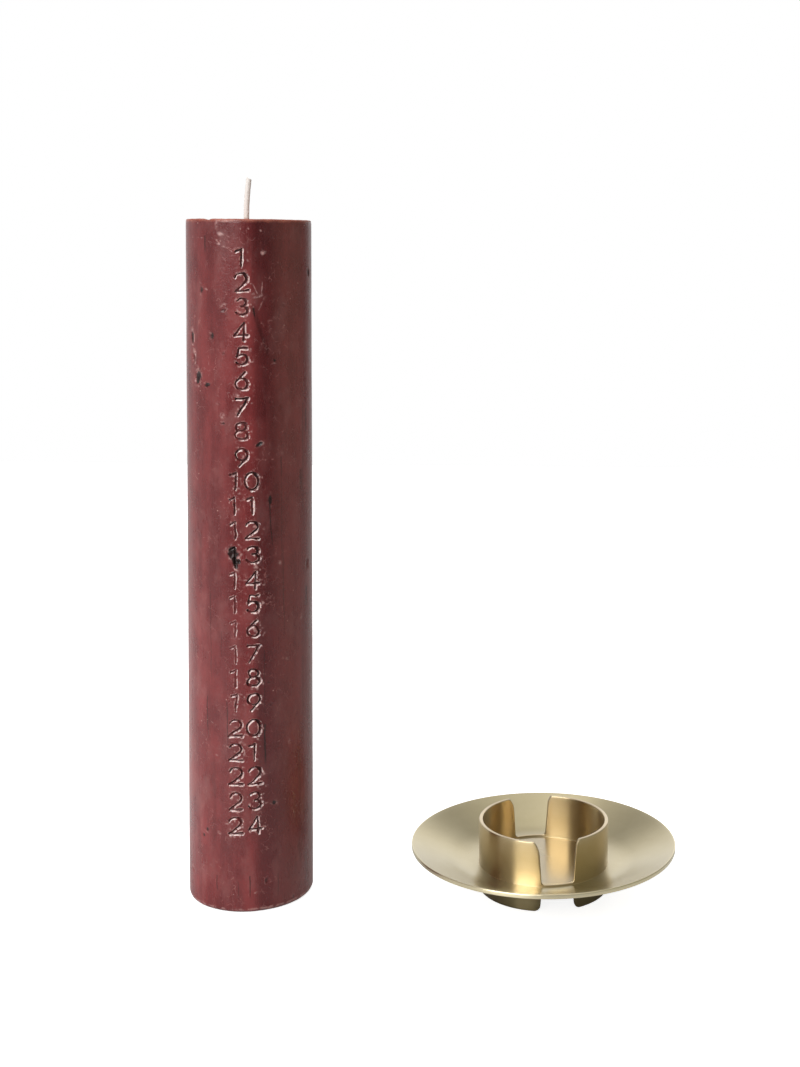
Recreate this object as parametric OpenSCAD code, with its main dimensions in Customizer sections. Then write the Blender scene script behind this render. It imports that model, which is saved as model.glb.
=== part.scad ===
// Calendar candle and its low brass holder, standing side by side.
// The candle is a pillar of poured wax with a cotton wick down its middle.
// The holder is a spun dish with a slotted collar on it and a slotted foot ring under it.
// Millimetres, +Z up. The origin is on the table, under the middle of the whole set.

/* [Candle] */
// Diameter of the wax at its foot
candle_d = 50; // [40:0.5:70]
// Height of the wax
candle_h = 273; // [120:1:350]
// How much narrower the wax is at its top, on each side, so that it leaves its mould
draft = 0.3; // [0:0.05:1.5]
// Height of the straight stretch at the foot, which the collar holds
straight_h = 30; // [22:1:60]
// Rounding round the foot
foot_round = 2; // [0.5:0.1:5]
// Rounding round the top edge
top_round = 0.8; // [0.2:0.1:3]

/* [Wick] */
// Diameter of the braided wick
wick_d = 2.2; // [1.2:0.1:4]
// Clearance between the wick and the wax, all round
wick_gap = 0.05; // [0.02:0.01:0.2]
// Height of the wick above the wax
wick_out = 16.6; // [8:0.1:30]
// How far the wick stops above the foot
wick_up = 1; // [0.5:0.5:10]
// How far the wick stands to the left of the candle's axis
wick_off = 1; // [0:0.1:4]
// Radius of the arc in which the free wick leans to the right
wick_bend = 120; // [60:5:300]
// Slant of the cut across the tip, in degrees
wick_cut = 20; // [0:1:40]

/* [Dish] */
// Diameter of the dish over its rim
dish_d = 108.6; // [95:0.2:150]
// Thickness of the brass sheet
sheet = 1.7; // [1:0.1:3]
// How far the rim rises above the flat floor
dish_rise = 9; // [4:0.5:14]
// Radius of the bend between the flat floor and the sloping side
bend_r = 25; // [16:1:40]
// Width of the flat floor that shows round the collar
floor_edge = 1.4; // [0.5:0.1:4]
// Rounding of the rim's two edges
rim_round = 0.4; // [0.1:0.05:0.5]

/* [Collar and foot ring] */
// Clearance between the candle and the collar, all round
seat_gap = 0.1; // [0.05:0.01:0.2]
// Wall thickness of both rings
ring_wall = 1.5; // [1:0.1:2.5]
// Height of the collar above the floor of the dish
collar_h = 17.9; // [14:0.1:20]
// Height of the foot ring, from the table to the underside of the dish
foot_h = 8.4; // [6:0.1:16]
// Rounding of the free edges of both rings
edge_round = 0.35; // [0.1:0.05:0.45]

/* [Notches] */
// Width of every notch at its closed end
notch_w = 13; // [8:0.5:20]
// Lean of a notch's sides from upright, in degrees
notch_taper = 4; // [0:0.5:7]
// Height of the closed band that each ring keeps at the dish
band_h = 0.7; // [0.5:0.1:2]
// Radius in the closed corners
notch_corner = 1.2; // [0.5:0.1:2]
// Radius of the collar's flared corners on the left
left_flare = 9; // [5:0.5:14]
// Height of the flare on the left
left_flare_h = 5.2; // [2:0.1:6]
// Radius of the collar's flared corners on the right
right_flare = 6; // [4:0.5:14]
// Height of the flare on the right
right_flare_h = 3.3; // [1:0.1:3.5]
// Radius of the corners of the feet
foot_corner = 2.6; // [1:0.1:3.4]
// Turn of the notches from straight ahead, in degrees
notch_turn = 12.4; // [-45:0.1:45]

/* [Layout] */
// Distance from the candle's axis to the holder's axis, seen from the front
spacing = 119.5; // [115:0.5:200]
// How much nearer the viewer the candle stands
candle_near = 6; // [0:0.5:20]

/* [Hidden] */
$fn = 96;
// Straight steps in a quarter or smaller arc
arc_steps = 10;
// How far a cutter reaches past what it cuts
past = 1;
candle_r = candle_d / 2;
dish_r = dish_d / 2;
bore_r = candle_r + seat_gap;
ring_r = bore_r + ring_wall;
wick_r = wick_d / 2;
// How far the wick's arc runs on before its tip is cut, in degrees
wick_spare = 1;
// The dish's floor is flat out to here
flat_r = ring_r + floor_edge;
floor_z = foot_h + sheet;
slope_run = dish_r - flat_r;
// Slope of the dish's side, for a straight side that meets the bend without a kink
slope_leg = bend_r - dish_rise;
slope = atan2(slope_run, slope_leg) - acos(bend_r / norm([slope_run, slope_leg]));
// The set is as wide as candle, gap and dish together, and its middle is at x = 0
set_w = candle_r + spacing + dish_r;
candle_x = candle_r - set_w / 2;
holder_x = set_w / 2 - dish_r;

// Points on an arc round a centre, from one angle to another
function arc(centre, r, from, to) =
    [for (i = [0:arc_steps]) let (a = from + (to - from) * i / arc_steps) centre + r * [cos(a), sin(a)]];

function mirrored(points) = [for (i = [len(points) - 1:-1:0]) [-points[i][0], points[i][1]]];

// One side of a notch, from the middle of its closed end to past the ring's free edge:
// closed corner, leaning side, and a flare of radius r that starts flare_h below the edge
function notch_side(h, r, flare_h) = let (
    corner = [notch_w / 2 + notch_corner * (tan(notch_taper) - 1 / cos(notch_taper)), band_h + notch_corner],
    start_y = h - flare_h,
    start = [notch_w / 2 + (start_y - band_h) * tan(notch_taper), start_y],
    flare = start + r * [cos(notch_taper), -sin(notch_taper)],
    reach = asin(min(1, flare_h / r + sin(notch_taper))),
    lip = arc(flare, r, 180 - notch_taper, 180 - reach)
) concat(arc(corner, notch_corner, -90, -notch_taper), lip, [lip[arc_steps] + [0, past]]);

// A ring with a notch through its front and one through its back, open at its upper edge
module slotted_ring(h, left_r, left_h, right_r, right_h) {
    outer = arc([ring_r - edge_round, h - edge_round], edge_round, 0, 90);
    inner = arc([bore_r + edge_round, h - edge_round], edge_round, 90, 180);
    notch = concat(mirrored(notch_side(h, left_r, left_h)), notch_side(h, right_r, right_h));
    difference() {
        rotate_extrude() polygon(concat([[bore_r, 0], [ring_r, 0]], outer, inner));
        rotate([0, 0, notch_turn]) rotate([90, 0, 0])
            linear_extrude(height = 2 * (ring_r + past), center = true) polygon(notch);
    }
}

module at_candle() {
    translate([candle_x, -candle_near, 0]) children();
}

module at_holder(z = 0) {
    translate([holder_x, 0, z]) children();
}

module candle_body() {
    top_r = candle_r - draft;
    foot = arc([candle_r - foot_round, foot_round], foot_round, -90, 0);
    shoulder = arc([top_r - top_round, candle_h - top_round], top_round, 0, 90);
    color([0.50, 0.22, 0.23]) at_candle() difference() {
        rotate_extrude()
            polygon(concat([[0, 0]], foot, [[candle_r, straight_h]], shoulder, [[0, candle_h]]));
        translate([-wick_off, 0, -past]) cylinder(r = wick_r + wick_gap, h = candle_h + 2 * past);
    }
}

// Straight through the wax, then an arc that leans right to a slanted tip
module wick() {
    // Angle along the arc at which its outer side is as high as the wick stands out
    tip_turn = asin(wick_out / (wick_bend + wick_r));
    tip = [wick_bend - (wick_bend + wick_r) * cos(tip_turn), 0, wick_out];
    color([0.90, 0.86, 0.83]) at_candle() translate([-wick_off, 0, 0]) {
        translate([0, 0, wick_up]) cylinder(r = wick_r, h = candle_h - wick_up);
        translate([0, 0, candle_h]) difference() {
            translate([wick_bend, 0, 0]) rotate([90, 0, 180])
                rotate_extrude(angle = tip_turn + wick_spare) translate([wick_bend, 0]) circle(r = wick_r);
            translate(tip) rotate([0, tip_turn + wick_cut, 0])
                translate([-wick_d, -wick_d, 0]) cube([4 * wick_d, 2 * wick_d, 2 * wick_d]);
        }
    }
}

// Spun from one disc: a flat floor, a wide bend and a straight sloping side,
// with the rim trimmed upright
module dish() {
    hub = [flat_r, floor_z + bend_r];
    edge_x = dish_r - rim_round;
    // How far inside the sheet's faces the centres of the rim's two roundings lie
    inset = rim_round * (1 / cos(slope) + tan(slope));
    outset = rim_round * (1 / cos(slope) - tan(slope));
    rim_z = floor_z + dish_rise;
    under_z = rim_z - sheet / cos(slope);
    color([0.75, 0.68, 0.47]) at_holder() rotate_extrude() polygon(concat(
        [[0, foot_h]],
        arc(hub, bend_r + sheet, -90, slope - 90),
        arc([edge_x, under_z + outset], rim_round, slope - 90, 0),
        arc([edge_x, rim_z - inset], rim_round, 0, 90 + slope),
        arc(hub, bend_r, slope - 90, -90),
        [[0, floor_z]]
    ));
}

module collar() {
    color([0.72, 0.62, 0.38]) at_holder(floor_z)
        slotted_ring(collar_h, left_flare, left_flare_h, right_flare, right_flare_h);
}

// The same ring the other way up: its corners are round right down to the table
module foot_ring() {
    corner_h = foot_corner * (1 - sin(notch_taper));
    color([0.60, 0.52, 0.32]) at_holder(foot_h) mirror([0, 0, 1])
        slotted_ring(foot_h, foot_corner, corner_h, foot_corner, corner_h);
}

candle_body();
wick();
dish();
collar();
foot_ring();
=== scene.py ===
"""Calendar candle beside its brass holder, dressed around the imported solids. Sizes are in millimetres."""
from math import acos, asin, atan2, cos, hypot, pi, radians, sin, tan

import bpy
import numpy as np
from mathutils import Matrix, Vector


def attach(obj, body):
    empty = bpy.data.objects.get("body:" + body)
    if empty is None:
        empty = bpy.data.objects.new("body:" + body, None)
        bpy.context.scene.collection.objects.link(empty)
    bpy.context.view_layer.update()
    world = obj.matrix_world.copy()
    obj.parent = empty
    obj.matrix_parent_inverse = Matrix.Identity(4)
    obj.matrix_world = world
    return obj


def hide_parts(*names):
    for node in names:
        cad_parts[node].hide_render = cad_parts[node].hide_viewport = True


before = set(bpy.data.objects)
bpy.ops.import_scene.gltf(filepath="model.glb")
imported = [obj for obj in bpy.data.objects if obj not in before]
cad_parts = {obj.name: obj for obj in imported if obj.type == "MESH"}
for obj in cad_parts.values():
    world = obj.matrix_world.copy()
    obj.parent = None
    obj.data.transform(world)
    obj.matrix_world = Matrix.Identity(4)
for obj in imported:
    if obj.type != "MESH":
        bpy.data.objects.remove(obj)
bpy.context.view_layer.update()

MM = 0.001

# Camera: a long lens a little above the set, held nearly level so that the wax stands upright.
# Its place and its lens come from the outlines of the wax and of the dish in the photograph.
photo_w, photo_h = 800, 1067
focal_px, axis_px = 1516.4, (530, 360)
lens_at = Vector((37.7, -610.6, 262.2))
look_down, roll = 4.189, 0.523
film = 36
lens = bpy.data.cameras.new("camera")
lens.sensor_width = film
lens.lens = focal_px / photo_h * film
lens.shift_x = (photo_w / 2 - axis_px[0]) / photo_h
lens.shift_y = (axis_px[1] - photo_h / 2) / photo_h
lens.clip_start, lens.clip_end = 0.01, 50
camera = bpy.data.objects.new("camera", lens)
bpy.context.scene.collection.objects.link(camera)
camera.matrix_world = (Matrix.Translation(lens_at * MM) @ Matrix.Rotation(radians(90 - look_down), 4, "X")
                       @ Matrix.Rotation(radians(roll), 4, "Z"))
bpy.context.scene.camera = camera
bpy.context.scene.view_settings.view_transform = "Standard"

# Wax pillar: dark red wax poured in a tube mould, so its side is drawn with faint upright streaks.
# The numbers 1 to 24 are pressed in afterwards one by one, which raises a thin lip round each stroke.
candle_at = np.array([-74.4, -6.0])
wax_r, wax_h, wax_draft, wax_straight = 25.0, 273.0, 0.3, 30.0
foot_round, top_round = 2.0, 0.8
# The wax is drawn this far inside its solid, so that lips and bumps stay within it
wax_inset = 0.16
# How deep the deepest pit may go, and how near to its solid's face the wax may come
deepest, nearest_face = 2.2, 0.005
# Side of the finest squares, over the numbers, and of those beside and behind them
fine, front_cell, back_cell = 0.29, 1.0, 2.4
number_band, front_band = (-7.4, 8.7), (-46.0, 42.0)
# How far round to the right of straight ahead the numbers stand
number_turn = 1.78


class Lattice:
    """Smooth noise of about -1 to 1 from a repeating random table, for points in millimetres."""
    side = 64

    def __init__(self, seed):
        self.table = np.random.default_rng(seed).uniform(-1, 1, (self.side,) * 3)

    def __call__(self, points, cell):
        p = np.asarray(points, float) / np.asarray(cell, float) + self.side
        low = np.floor(p).astype(int)
        t = p - low
        t = t * t * (3 - 2 * t)
        total = 0
        for corner in np.ndindex(2, 2, 2):
            weight = np.prod(np.where(corner, t, 1 - t), axis=-1)
            total = total + weight * self.table[tuple(((low + corner) % self.side).T)]
        return total


def smooth(low, high, x):
    """0 below low, 1 above high, and an S between; low may be the larger of the two."""
    t = np.clip((x - low) / (high - low), 0, 1)
    return t * t * (3 - 2 * t)


def bow(x, z, rx, rz, start, end):
    """Points along part of an ellipse, angles in degrees from the right, counter-clockwise."""
    turn = np.radians(np.linspace(start, end, max(6, int(abs(end - start) / 14))))
    return np.stack([x + rx * np.cos(turn), z + rz * np.sin(turn)], 1)


def line(*points):
    return np.array(points, float)


# Middle lines of the strokes, from the middle of each number's foot; plain round numerals
digit_h = 6.5
digit_lines = {
    "0": [bow(0, 3.25, 2.6, 3.25, 0, 360)],
    "1": [line((-2, 5.6), (-1, 6), (0, 6.5), (0, 0))],
    "2": [np.concatenate([bow(0, 4.5, 2.4, 2, 165, -38), line((-2.5, 0), (2.6, 0))])],
    "3": [bow(-0.2, 4.95, 2, 1.55, 155, -85), bow(-0.1, 1.75, 2.5, 1.75, 95, -155)],
    "4": [line((1.2, 0), (1.2, 6.5), (-2.6, 1.75), (2.6, 1.75))],
    "5": [line((2.1, 6.5), (-1.2, 6.5), (-1.8, 3.5)), bow(0, 2.05, 2.4, 2.05, 140, -150)],
    "6": [line((1.4, 6.5), (-2, 3.2)), bow(0, 2.15, 2.4, 2.15, 0, 360)],
    "7": [line((-2.5, 6.5), (2.4, 6.5), (-1.7, 0))],
    "8": [bow(0, 4.95, 2, 1.55, 0, 360), bow(0, 1.75, 2.5, 1.75, 0, 360)],
    "9": [bow(0, 4.35, 2.4, 2.15, 0, 360), line((2.1, 3.3), (-1.2, 0))],
}
# Tops of the 24 rows; they were pressed by eye, so their distances vary
row_tops = (261.5, 252.3, 242.8, 233.3, 223.7, 214.1, 204.1, 194.9, 184.7, 175.5, 166.1, 156.4,
            146.6, 136.8, 127.3, 117.6, 107.6, 98.1, 88.6, 78.2, 68.6, 59.1, 49.0, 39.3)
stroke_half = 0.56
press_depth, lip_height = 0.95, 0.15
# How deep each number is pressed, as a share of the full depth, for tens and for ones
tens_press = dict(zip(range(10, 25), (.8, .9, .8, 1, .45, .45, .4, .35, .5, .5, .9, .9, .9, .9, .9)))
ones_press = dict(zip(range(1, 25), (1, .9, .9, .9, .9, .9, 1, .8, .9, 1, .7, 1,
                                     1, 1, 1, .9, .8, 1, 1, 1, .9, 1, .9, .9)))
# Middles of the numbers across the band; the ones of two-digit numbers drift right down the rows
single_middle, tens_middle, ones_middle, ones_drift = -0.2, {"1": -3.2, "2": -3.3}, 3.5, 0.9
# How far each punch may be out: across, up, and in degrees
slip, up_slip, tilt = 0.15, 0.12, 2.5
# Where the light comes from, across and up: on that side each stroke's wall is painted dark, as shadow
light_side = np.array([-0.86, 0.5])
# Distance from a stroke's middle, in half widths, to which its masks reach
stroke_reach = 2.5

wax_grain = Lattice(11)
rng = np.random.default_rng(24)


def to_stroke(points, lines):
    """Distance in millimetres from each point to the nearest line, and the way from there to the point."""
    best, way = np.full(len(points), 99.0), np.zeros((len(points), 2))
    for path in lines:
        for a, b in zip(path[:-1], path[1:]):
            along = b - a
            share = np.clip((points - a) @ along / (along @ along), 0, 1)
            off = points - a - share[:, None] * along
            gap = np.hypot(*off.T)
            nearer = gap < best
            best[nearer], way[nearer] = gap[nearer], off[nearer]
    return best, way / np.maximum(best, 1e-6)[:, None]


# Marks seen on the wax: across and up the side from the middle of the front, half width, half
# height, lean in degrees, depth, and how dark the painted shade in it is
pits = [
    (-24.4, 226.8, 1, 2.4, 0, 0.9, 0.8), (-12.7, 227.6, 0.7, 1.5, 0, 0.5, 0.7),
    (-23.2, 218.8, 0.6, 2.6, 8, 0.7, 0.6), (-20.3, 211.6, 1.2, 2.8, 12, 0.8, 0.9),
    (-15, 208.7, 1.4, 0.7, -20, 0.6, 1), (12.5, 218.3, 0.5, 0.7, 0, 0.25, 0.8),
    (-7.8, 194.1, 0.8, 0.6, 0, 0.3, 0.7), (6.4, 186, 1.3, 0.65, -35, 0.5, 1),
    (-7.5, 221.2, 0.6, 0.6, 0, 0.2, 0.6), (-9.7, 201.4, 0.5, 0.6, 0, 0.2, 0.6),
    (-17.9, 245.7, 0.6, 1.5, 0, 0.5, 0.8), (-7.4, 237.6, 1.2, 0.5, -20, 0.4, 0.6),
    (33, 252.2, 0.9, 1.6, 0, 0.6, 0.8), (17, 239.7, 0.5, 0.6, 0, 0.2, 0.6),
    (10.4, 164.2, 0.62, 2, 0, 0.1, 1), (-4.1, 143.7, 1.9, 2.5, -25, 1, 1),
    (-3.2, 140.1, 0.9, 2.2, -15, 1, 1), (-1.9, 140.4, 0.8, 0.9, 0, 0.7, 1),
    (9.5, 134, 0.5, 0.5, 0, 0.2, 0.6), (9.9, 127.6, 0.5, 0.5, 0, 0.2, 0.6),
    (11.9, 43.7, 0.8, 0.8, 0, 0.5, 0.9), (-16.5, 32.3, 0.5, 0.9, 15, 0.4, 0.8),
    (-18.2, 29.7, 0.4, 0.7, 15, 0.3, 0.8), (8.6, 12.6, 0.7, 1, 0, 0.3, 0.65),
    (20.4, 3.1, 0.5, 1.2, 0, 0.4, 0.8), (10, 92.3, 0.5, 0.5, 0, 0.2, 0.7),
    (10.5, 83.2, 0.7, 0.7, 0, 0.2, 0.6), (-26.5, 13.2, 0.8, 1.2, 0, 0.4, 0.1),
    (30.8, 135.9, 1, 2.6, 5, 0.5, 0.2), (-60, 90, 1.5, 2.6, 20, 0.5, 0.8),
    (58, 201, 1.2, 3, -10, 0.5, 0.8), (70, 60, 0.9, 2, 0, 0.4, 0.7), (-70, 180, 1, 1.6, 10, 0.4, 0.8),
    (66, 140, 1.6, 1, 10, 0.5, 0.7), (-52, 245, 0.8, 1.8, 0, 0.4, 0.8),
]
# Upright dark drips: across, top, foot, half width, how dark, lean in millimetres to the right
drips = [
    (4.6, 238, 235.5, 0.35, 0.7, 0.5), (4.7, 238, 222.2, 0.9, 0.5, 4.8), (30.3, 126.9, 116.9, 0.5, 0.65, 0),
    (24.3, 22.9, 17.9, 1, 0.4, 1), (28.8, 17.8, 8.8, 1.4, 0.45, 1.5), (22.4, 16, 9, 0.6, 0.4, 0),
    (12.4, 199, 149, 1.4, 0.22, 1), (24.1, 60.9, 38.9, 0.8, 0.4, 0.5), (27, 98.8, 76.8, 0.6, 0.45, 0),
    (-12.5, 59.7, 29.9, 1, 0.22, 0), (-19.6, 149.3, 119.4, 0.7, 0.25, 0), (-62, 230, 150, 0.5, 0.5, 1),
    (50, 255, 190, 0.6, 0.5, -1), (64, 120, 30, 0.6, 0.5, 1), (-48, 120, 60, 0.5, 0.45, 0),
]
# Drips finer than the mesh beside the numbers, drawn by the finish; the same values
hair_drips = [
    (-15.9, 266.4, 259, 0.28, 0.75, 0), (10.4, 164, 142.5, 0.22, 0.95, 1.8), (15.4, 181, 171, 0.3, 0.65, 0.1),
    (15.5, 174, 120, 0.25, 0.35, 0.5), (25.9, 175.3, 164.5, 1, 0.5, 0), (27.4, 203, 150, 0.4, 0.45, 0),
    (29.8, 199, 187, 0.8, 0.55, 0), (8.1, 76.5, 56.5, 0.34, 0.85, 0.3), (8, 106, 75, 0.25, 0.4, 0.1),
    (-16, 87, 66.7, 0.24, 0.6, 0.8), (-6.6, 85.6, 66, 0.24, 0.6, 0), (2.2, 15.5, 5, 0.24, 0.75, 0),
    (-11.6, 15, 7.5, 0.24, 0.6, 0), (-14, 129, 84, 0.24, 0.35, 0.5), (16.3, 147, 105, 0.26, 0.5, 0.4),
    (-2.6, 13, 5, 0.2, 0.4, 0), (13.5, 15, 4, 0.24, 0.45, 0), (-9.2, 113, 99, 0.2, 0.35, 0.2),
]
# Pale rubbed patches and flecks: across, up, half width, half height, lean, how pale
rubs = [
    (-8.4, 266.7, 1.3, 0.8, 10, 0.9), (8.1, 259.9, 0.7, 0.8, 0, 0.9), (7.3, 268.3, 0.4, 0.4, 0, 0.8),
    (2.6, 268.9, 0.3, 0.3, 0, 0.8), (-0.5, 268.8, 0.3, 0.3, 0, 0.7), (16.3, 266.2, 1.6, 0.25, 0, 0.5),
    (-15.1, 245.8, 0.4, 0.4, 0, 0.9), (-7.7, 239.4, 1.5, 0.7, -25, 0.6), (6.1, 243.1, 1.6, 0.5, -15, 0.9),
    (5.1, 245.8, 0.2, 2.2, -25, 0.7), (7.7, 246.3, 0.2, 2.4, 5, 0.6), (7.5, 240.3, 0.2, 2.5, 25, 0.6),
    (-8, 196.8, 1, 1.3, 20, 0.6), (-24.5, 229.7, 1, 0.5, 0, 0.9), (-22.5, 216.7, 0.5, 0.8, 0, 1),
    (15.3, 182, 0.5, 1, 0, 0.6), (14.4, 139.2, 0.6, 0.8, 0, 0.7), (-10.4, 32.1, 0.35, 0.6, 30, 0.9),
    (-10.4, 271.1, 0.5, 3.5, -12, 0.45), (-6.5, 272.2, 3.6, 0.8, 0, 0.8), (32.9, 133.9, 0.6, 2.2, 0, 0.9),
    (25.8, 116.1, 0.35, 2.4, -12, 0.7), (-26.5, 13.9, 0.5, 0.8, 0, 1), (4.2, 8.4, 0.8, 0.3, -20, 0.6),
    (18.5, 66.9, 0.5, 1.2, 0, 0.5), (17.2, 59, 0.5, 2, 0, 0.35), (17.6, 100.4, 0.5, 0.6, 0, 0.8),
    (-11, 63.1, 0.4, 0.5, -30, 0.9), (10.1, 56, 0.5, 0.4, 25, 0.8),
]
# Thin scratches, from one point to another, across and up
scratches = [
    (-21.5, 265.4, -14, 265.2), (10.2, 265.7, 18.5, 265.3), (-9.4, 272, -7.9, 267.5),
    (-10.6, 264.2, -3.3, 260.9), (-13.7, 265.9, -8.1, 263.9), (-9.1, 263.1, -3.7, 260.1),
    (-12.1, 262.2, -5.1, 261.7), (-14.6, 264.2, -9.1, 262.9), (-6.1, 266.3, -3.1, 265.3),
    (-25.5, 174.3, -19.7, 170.3), (-15.4, 77.6, -10.5, 73.5), (-13.5, 73.6, -8.6, 77.5),
]


def spread(across, up, mark):
    """How far out from a mark's middle each point lies, 1 at its edge."""
    x0, z0, half_w, half_h, lean = mark
    dx, dz = across - x0, up - z0
    c, s = cos(radians(lean)), sin(radians(lean))
    return np.hypot((dx * c - dz * s) / half_w, (dx * s + dz * c) / half_h)


def wax_side_point(t):
    """Radius, height and outward direction at distance t up the outline, from under the foot."""
    top_z = wax_h - top_round
    slant = hypot(wax_draft, top_z - wax_straight)
    lean = atan2(wax_draft, top_z - wax_straight)
    side_from = foot_round * pi / 2
    slant_from = side_from + wax_straight - foot_round
    top_from = slant_from + slant
    foot_turn = np.clip(t / foot_round, 0, pi / 2) - pi / 2
    top_turn = lean + np.clip((t - top_from) / top_round, 0, pi / 2)
    turn = np.select([t < side_from, t < slant_from, t < top_from], [foot_turn, 0, lean], top_turn)
    up_slant = np.clip(t - slant_from, 0, slant)
    up_side = np.clip(t - side_from, 0, slant_from - side_from) + up_slant * cos(lean)
    in_foot, past_top = t < side_from, t > top_from
    r = np.where(in_foot, wax_r - foot_round + foot_round * np.cos(turn), wax_r - up_slant * sin(lean))
    r = np.where(past_top, wax_r - wax_draft - top_round + top_round * np.cos(turn), r)
    z = np.where(in_foot, foot_round + foot_round * np.sin(turn), foot_round + up_side)
    z = np.where(past_top, top_z + top_round * np.sin(turn), z)
    return r, z, np.cos(turn), np.sin(turn)


# Columns of points round the side, each with its distance across and how many rows it steps over
wax_outline = (foot_round + top_round) * pi / 2 + wax_h - foot_round - top_round
coarsest = 4
rows = coarsest * round(wax_outline / fine / coarsest)
t_rows = np.linspace(0, wax_outline, rows + 1)
half_girth = pi * wax_r
column_stops = [
    (-half_girth, front_band[0], back_cell, coarsest), (front_band[0], number_band[0], front_cell, 2),
    (number_band[0], number_band[1], fine, 1), (number_band[1], front_band[1], front_cell, 2),
    (front_band[1], half_girth, back_cell, coarsest),
]
columns, steps = [], []
for low, high, cell, step in column_stops:
    for x in np.linspace(low, high, round((high - low) / cell), endpoint=False):
        columns.append(x)
        steps.append(step)
# A column on the border of two bands takes the finer rows
steps = [min(step, steps[i - 1]) for i, step in enumerate(steps)]
across, t_of, index = [], [], []
for x, step in zip(columns, steps):
    index.append({})
    for row in range(0, rows + 1, step):
        index[-1][row] = len(across)
        across.append(x)
        t_of.append(t_rows[row])
across, t_of = np.array(across), np.array(t_of)
faces = []
for i, step in enumerate(steps):
    j = (i + 1) % len(steps)
    block = max(step, steps[j])
    for row in range(0, rows, block):
        left = [index[i][k] for k in range(row, row + block + 1, step)]
        right = [index[j][k] for k in range(row, row + block + 1, steps[j])]
        faces.append(right + left[::-1])

r, z, out, rise = wax_side_point(t_of)
theta = (across + number_turn) / wax_r
skin = np.stack([r * np.sin(theta), -r * np.cos(theta), z], 1)
# Broad waves, upright streaks from the mould and fine unevenness: height, cell and shift of the noise
unevenness = [(0.05, (30, 30, 45), 0), (0.035, (5, 5, 70), 7), (0.02, (2.2, 2.2, 25), 13), (0.018, 2.4, 19)]
bump = sum(height * wax_grain(skin + shift, cell) for height, cell, shift in unevenness)
cut, shaded, press, heavy, dark, pale = (np.zeros(len(skin)) for _ in range(6))
# The punch's edges are a little shaky
wobble_x, wobble_z = (0.16 * wax_grain(skin + small, 1.3) + 0.25 * wax_grain(skin + large, 4)
                      for small, large in ((31, 53), (47, 67)))
place = np.stack([across + wobble_x, z + wobble_z], 1)
for row in range(1, 25):
    text = str(row)
    drift = max(0, row - 10) / 14
    middles = [single_middle] if row < 10 else [tens_middle[text[0]], ones_middle + ones_drift * drift]
    for middle, digit in zip(middles, text):
        share = (ones_press if middle is middles[-1] else tens_press)[row]
        foot = row_tops[row - 1] - digit_h - stroke_half + rng.uniform(-up_slip, up_slip)
        middle += rng.uniform(-slip, slip)
        lean = radians(rng.uniform(-tilt, tilt))
        fainter = rng.uniform(0.65, 1)
        near = np.flatnonzero((abs(across - middle) < 5) & (abs(z - foot - digit_h / 2) < 5.4))
        local = place[near] - (middle, foot)
        local = np.stack([local[:, 0] * cos(lean) - local[:, 1] * sin(lean),
                          local[:, 0] * sin(lean) + local[:, 1] * cos(lean)], 1)
        gap, way = to_stroke(local, digit_lines[digit])
        # The punch is heavier on the right of each number
        weight = smooth(0.3, 2, local[:, 0]) * rng.uniform(0.5, 1)
        half = stroke_half * (0.86 + 0.4 * weight) * (1 + 0.36 * wax_grain(skin[near] + 3 * row, 2.2))
        q = gap / half
        groove = smooth(1.1, 0.2, q)
        broken = np.clip(0.5 + 0.9 * wax_grain(skin[near] + 5 * row, 1.8), 0, 1)
        lip = np.exp(-((q - 1.4) / 0.32) ** 2) * broken
        bump[near] += -press_depth * share * groove + lip_height * (0.4 + 0.6 * share) * lip
        crumbs = smooth(0.42, 0.7, wax_grain(skin[near] + 9 * row, 1.0))
        crumbs = crumbs * smooth(0.9, 1.3, q) * smooth(4.5, 2, q)
        pale[near] = np.maximum(pale[near], 0.75 * share * crumbs)
        mine = 1 - q / stroke_reach > cut[near]
        here = near[mine]
        cut[here] = 1 - q[mine] / stroke_reach
        shaded[here] = 0.5 + 0.5 * way[mine] @ light_side
        press[here] = share * fainter
        heavy[here] = weight[mine]
# Painted light and shade: the wax is painted darker right of the numbers and near its top, and lighter at its
# right and lower left, as the lamps fall on it
up_side = smooth(15, 70, z)
painted_shade_band = smooth(2.5, 6.5, across) * (0.55 + 0.45 * up_side)
painted_light_right = smooth(11, 25, across) * (0.6 + 0.4 * up_side)
painted_light_lower_left = smooth(-13, -20, across) * smooth(160, 60, z)
tone = 0.56 - 0.25 * painted_shade_band + 0.5 * painted_light_right + 0.2 * painted_light_lower_left - 0.09 * smooth(235, 262, z)
tone_behind = 0.68
tone = np.where(abs(across) > front_band[1], tone_behind, np.clip(tone, 0, 1))
tone = tone * (1 + 0.08 * wax_grain(skin + 71, (9, 9, 40)))
ragged = 0.28 * wax_grain(skin + 3, 1.1)
for x0, z0, half_w, half_h, lean, depth, darkness in pits:
    near = (abs(across - x0) < 2.4 * half_w + 2) & (abs(z - z0) < 2.4 * half_h + 2)
    edge = spread(across[near], z[near], (x0, z0, half_w, half_h, lean)) + ragged[near]
    bump[near] -= depth * smooth(1.1, 0.35, edge)
    bump[near] += 0.1 * np.exp(-((edge - 1.25) / 0.22) ** 2)
    # A pit's darkness is painted shade in its hollow
    if darkness > 0.65:
        dark[near] = np.maximum(dark[near], darkness * np.clip(1.5 - edge, 0, 1))
    tone[near] *= 1 - 0.8 * min(darkness, 0.65) * np.clip(1.4 - edge, 0, 1)
    rim = np.exp(-((edge - 1.35) / 0.25) ** 2) * smooth(-0.4, 0.5, wax_grain(skin[near] + 37, 1.2))
    pale[near] = np.maximum(pale[near], min(1, 1.3 * depth) * rim)
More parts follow.
